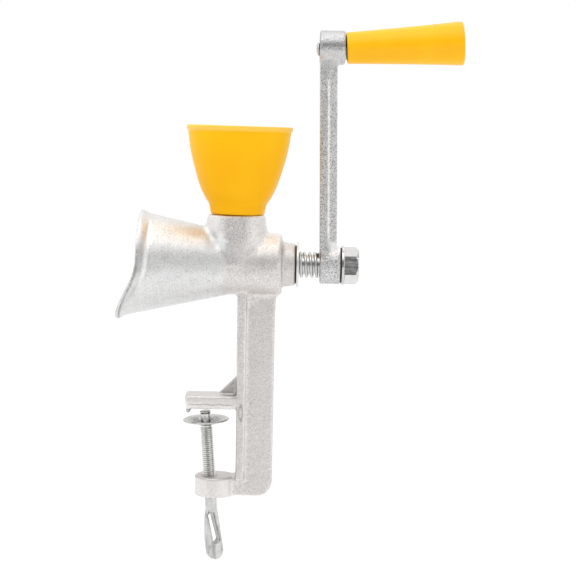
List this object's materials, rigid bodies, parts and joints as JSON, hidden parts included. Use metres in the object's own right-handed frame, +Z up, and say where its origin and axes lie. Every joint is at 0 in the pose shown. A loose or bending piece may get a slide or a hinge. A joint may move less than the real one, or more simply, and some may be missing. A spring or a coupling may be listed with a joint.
{
  "type": "hand crank grain mill",
  "caption": "Clamp-on hand mill: cast aluminium body with scooped discharge hood, push-in yellow hopper, spring-loaded crank with turning yellow grip, and screw clamp with dished pressure disc.",
  "frame": {"origin": "on the underside of the upper clamp jaw, the face that sits on the table top, above the clamp screw", "axes": "+Z up, square to the table; +X along the shaft from the discharge hood towards the crank; +Y away from a viewer who has the hood on the left"},
  "size_m": [0.2112, 0.0652, 0.3382],
  "materials": {
    "cast_aluminium": "rough sand cast",
    "cast_aluminium_arm": "rough sand cast, darker",
    "yellow_plastic": "moulded, semi-gloss",
    "burr_iron": "machined casting",
    "shaft_steel": "turned",
    "plated_steel": "bright zinc plated",
    "plated_nut": "bright plated",
    "bronze": "sintered",
    "fibre": "pressed fibre"
  },
  "bodies": {
    "frame": {"body_casting": "cast_aluminium", "stator_burr": "burr_iron", "shaft_bush": "bronze", "boss_fibre_washer": "fibre"},
    "shaft": {"drive_shaft": "shaft_steel", "feed_worm": "burr_iron", "worm_pin": "shaft_steel", "rotor_burr": "burr_iron", "burr_washer": "plated_steel", "burr_screw": "plated_steel", "thrust_washer": "plated_steel", "tension_spring": "plated_steel"},
    "crank": {"crank_arm": "cast_aluminium_arm", "hub_fibre_washer": "fibre", "grip_pin": "shaft_steel", "grip_washer": "fibre"},
    "nut": {"nut_washer": "plated_steel", "hex_nut": "plated_nut"},
    "grip": {"crank_grip": "yellow_plastic"},
    "hopper": {"hopper": "yellow_plastic"},
    "clamp_pad": {"pressure_disc": "plated_steel"},
    "clamp_spindle": {"clamp_screw": "plated_steel"}
  },
  "joints": [
    {"name": "crank_turn", "type": "hinge", "parent": "frame", "child": "shaft", "pos_m": [0.045, 0, 0.09], "axis": [1, 0, 0], "continuous": true},
    {"name": "crank_slide", "type": "slide", "parent": "shaft", "child": "crank", "axis": [-1, 0, 0], "range_m": [0, 0.00263], "deforming": ["tension_spring"]},
    {"name": "nut_turn", "type": "hinge", "parent": "crank", "child": "nut", "pos_m": [0.085, 0, 0.09], "axis": [-1, 0, 0], "range_deg": [0, 540]},
    {"name": "grip_spin", "type": "hinge", "parent": "crank", "child": "grip", "pos_m": [0.11301, 0, 0.22517], "axis": [0.9982, 0, 0.0593], "continuous": true},
    {"name": "hopper_lift", "type": "slide", "parent": "frame", "child": "hopper", "axis": [0, 0, 1], "range_m": [0, 0.0155]},
    {"name": "clamp_slide", "type": "slide", "parent": "frame", "child": "clamp_pad", "axis": [0.075, 0, -0.9972], "range_m": [0, 0.0275]},
    {"name": "screw_turn", "type": "hinge", "parent": "clamp_pad", "child": "clamp_spindle", "pos_m": [-0.00022, 0, -0.04986], "axis": [0.075, 0, -0.9972], "range_deg": [0, 7920]}
  ],
  "couplings": [
    {"joint": "nut_turn", "follows": "crank_slide", "rad_per_m": 3590.4},
    {"joint": "screw_turn", "follows": "clamp_slide", "rad_per_m": 5026.5}
  ]
}
